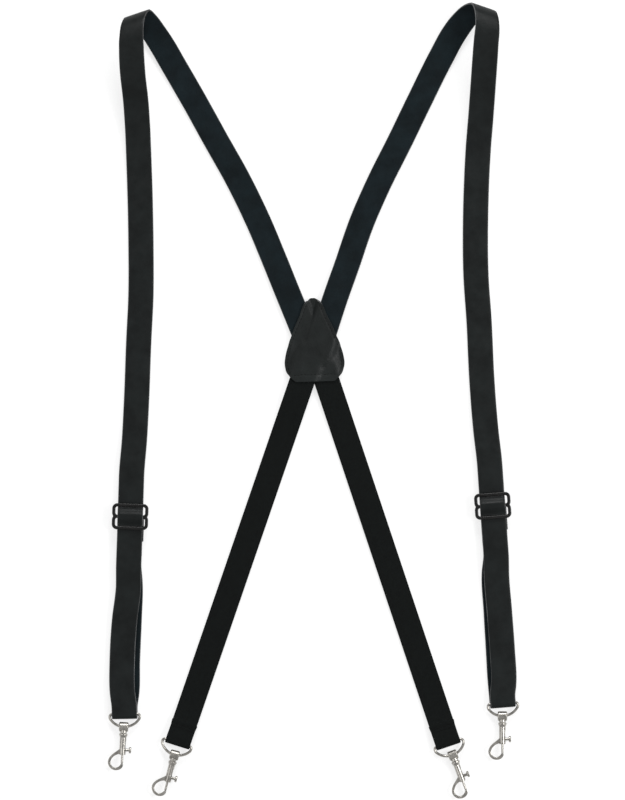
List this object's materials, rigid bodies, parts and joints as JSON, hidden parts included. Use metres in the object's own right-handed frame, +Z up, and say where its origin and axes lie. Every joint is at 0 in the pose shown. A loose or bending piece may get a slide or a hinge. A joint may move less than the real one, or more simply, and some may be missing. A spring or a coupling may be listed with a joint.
{
  "type": "suspenders",
  "caption": "X-back suspenders: leather shoulder straps, elastic back straps, a back patch, slide adjusters and swivel trigger snaps on D-rings.",
  "frame": {"origin": "bottom centre of the whole flat-laid object, on the table", "axes": "+Y from the snaps to the shoulder folds, +X to the viewer's right as seen from above, +Z up from the table"},
  "size_m": [0.3084, 0.5962, 0.0257],
  "materials": {
    "strap_leather": "satin",
    "patch_leather": "satin",
    "elastic_webbing": "matt",
    "black_metal": "gloss",
    "nickel_plate": "polished",
    "spring_steel": "drawn"
  },
  "bodies": {
    "root": {"patch_rear": "patch_leather", "patch_front": "patch_leather", "left_shoulder_strap": "strap_leather", "right_shoulder_strap": "strap_leather", "left_back_elastic": "elastic_webbing", "right_back_elastic": "elastic_webbing"},
    "left_adjuster": {"left_adjuster": "black_metal", "left_strap_weave": "strap_leather", "left_anchor_tab": "strap_leather"},
    "right_adjuster": {"right_adjuster": "black_metal", "right_strap_weave": "strap_leather", "right_anchor_tab": "strap_leather"},
    "left_strap_end": {"left_strap_end": "strap_leather"},
    "right_strap_end": {"right_strap_end": "strap_leather"},
    "front_left_ring": {"front_left_d_ring": "nickel_plate"},
    "front_left_eye": {"front_left_swivel_eye": "nickel_plate"},
    "front_left_hook": {"front_left_hook_body": "nickel_plate", "front_left_bolt_spring": "spring_steel"},
    "front_left_bolt": {"front_left_sliding_bolt": "nickel_plate", "front_left_thumb_stud": "nickel_plate"},
    "front_right_ring": {"front_right_d_ring": "nickel_plate"},
    "front_right_eye": {"front_right_swivel_eye": "nickel_plate"},
    "front_right_hook": {"front_right_hook_body": "nickel_plate", "front_right_bolt_spring": "spring_steel"},
    "front_right_bolt": {"front_right_sliding_bolt": "nickel_plate", "front_right_thumb_stud": "nickel_plate"},
    "rear_left_ring": {"rear_left_d_ring": "nickel_plate"},
    "rear_left_eye": {"rear_left_swivel_eye": "nickel_plate"},
    "rear_left_hook": {"rear_left_hook_body": "nickel_plate", "rear_left_bolt_spring": "spring_steel"},
    "rear_left_bolt": {"rear_left_sliding_bolt": "nickel_plate", "rear_left_thumb_stud": "nickel_plate"},
    "rear_right_ring": {"rear_right_d_ring": "nickel_plate"},
    "rear_right_eye": {"rear_right_swivel_eye": "nickel_plate"},
    "rear_right_hook": {"rear_right_hook_body": "nickel_plate", "rear_right_bolt_spring": "spring_steel"},
    "rear_right_bolt": {"rear_right_sliding_bolt": "nickel_plate", "rear_right_thumb_stud": "nickel_plate"}
  },
  "joints": [
    {"name": "left_adjuster_slide", "type": "slide", "parent": "root", "child": "left_adjuster", "axis": [-0.0314, -0.9995, 0], "range_m": [-0.017, 0.017]},
    {"name": "left_strap_end_slide", "type": "slide", "parent": "root", "child": "left_strap_end", "axis": [-0.0314, -0.9995, 0], "range_m": [-0.0085, 0.0085]},
    {"name": "right_adjuster_slide", "type": "slide", "parent": "root", "child": "right_adjuster", "axis": [0.0698, -0.9976, 0], "range_m": [-0.017, 0.017]},
    {"name": "right_strap_end_slide", "type": "slide", "parent": "root", "child": "right_strap_end", "axis": [0.0698, -0.9976, 0], "range_m": [-0.0085, 0.0085]},
    {"name": "front_left_ring_swing", "type": "hinge", "parent": "left_strap_end", "child": "front_left_ring", "pos_m": [-0.1418, -0.2346, 0.0034], "axis": [-0.9998, -0.0175, 0], "range_deg": [-90, 90]},
    {"name": "front_left_eye_swing", "type": "hinge", "parent": "front_left_ring", "child": "front_left_eye", "pos_m": [-0.14251, -0.24418, 0.0034], "axis": [-0.9986, 0.0523, 0], "range_deg": [-60, 60]},
    {"name": "front_left_swivel", "type": "hinge", "parent": "front_left_eye", "child": "front_left_hook", "pos_m": [-0.14251, -0.24418, 0.0034], "axis": [-0.0523, -0.9986, 0], "continuous": true},
    {"name": "front_left_bolt_slide", "type": "slide", "parent": "front_left_hook", "child": "front_left_bolt", "axis": [0.0523, 0.9986, 0], "range_m": [0, 0.005], "stiffness_N_per_m": 400, "springref_m": -0.002, "deforming": ["front_left_bolt_spring"]},
    {"name": "front_right_ring_swing", "type": "hinge", "parent": "right_strap_end", "child": "front_right_ring", "pos_m": [0.1415, -0.2265, 0.0034], "axis": [-0.9969, -0.0785, 0], "range_deg": [-90, 90]},
    {"name": "front_right_eye_swing", "type": "hinge", "parent": "front_right_ring", "child": "front_right_eye", "pos_m": [0.14127, -0.23611, 0.0034], "axis": [-1, 0, 0], "range_deg": [-60, 60]},
    {"name": "front_right_swivel", "type": "hinge", "parent": "front_right_eye", "child": "front_right_hook", "pos_m": [0.14127, -0.23611, 0.0034], "axis": [0, -1, 0], "continuous": true},
    {"name": "front_right_bolt_slide", "type": "slide", "parent": "front_right_hook", "child": "front_right_bolt", "axis": [0, 1, 0], "range_m": [0, 0.005], "stiffness_N_per_m": 400, "springref_m": -0.002, "deforming": ["front_right_bolt_spring"]},
    {"name": "rear_left_ring_swing", "type": "hinge", "parent": "root", "child": "rear_left_ring", "pos_m": [-0.1022, -0.2559, 0.0034], "axis": [-0.9537, 0.3007, 0], "range_deg": [-90, 90]},
    {"name": "rear_left_eye_swing", "type": "hinge", "parent": "rear_left_ring", "child": "rear_left_eye", "pos_m": [-0.10447, -0.26523, 0.0034], "axis": [-0.9677, 0.2521, 0], "range_deg": [-60, 60]},
    {"name": "rear_left_swivel", "type": "hinge", "parent": "rear_left_eye", "child": "rear_left_hook", "pos_m": [-0.10447, -0.26523, 0.0034], "axis": [-0.2521, -0.9677, 0], "continuous": true},
    {"name": "rear_left_bolt_slide", "type": "slide", "parent": "rear_left_hook", "child": "rear_left_bolt", "axis": [0.2521, 0.9677, 0], "range_m": [0, 0.005], "stiffness_N_per_m": 400, "springref_m": -0.002, "deforming": ["rear_left_bolt_spring"]},
    {"name": "rear_right_ring_swing", "type": "hinge", "parent": "root", "child": "rear_right_ring", "pos_m": [0.1007, -0.2564, 0.0034], "axis": [-0.9472, -0.3206, 0], "range_deg": [-90, 90]},
    {"name": "rear_right_eye_swing", "type": "hinge", "parent": "rear_right_ring", "child": "rear_right_eye", "pos_m": [0.10417, -0.26535, 0.0034], "axis": [-0.9361, -0.3518, 0], "range_deg": [-60, 60]},
    {"name": "rear_right_swivel", "type": "hinge", "parent": "rear_right_eye", "child": "rear_right_hook", "pos_m": [0.10417, -0.26535, 0.0034], "axis": [0.3518, -0.9361, 0], "continuous": true},
    {"name": "rear_right_bolt_slide", "type": "slide", "parent": "rear_right_hook", "child": "rear_right_bolt", "axis": [-0.3518, 0.9361, 0], "range_m": [0, 0.005], "stiffness_N_per_m": 400, "springref_m": -0.002, "deforming": ["rear_right_bolt_spring"]}
  ],
  "couplings": [
    {"joint": "left_strap_end_slide", "follows": "left_adjuster_slide", "ratio": 0.5},
    {"joint": "right_strap_end_slide", "follows": "right_adjuster_slide", "ratio": 0.5}
  ]
}
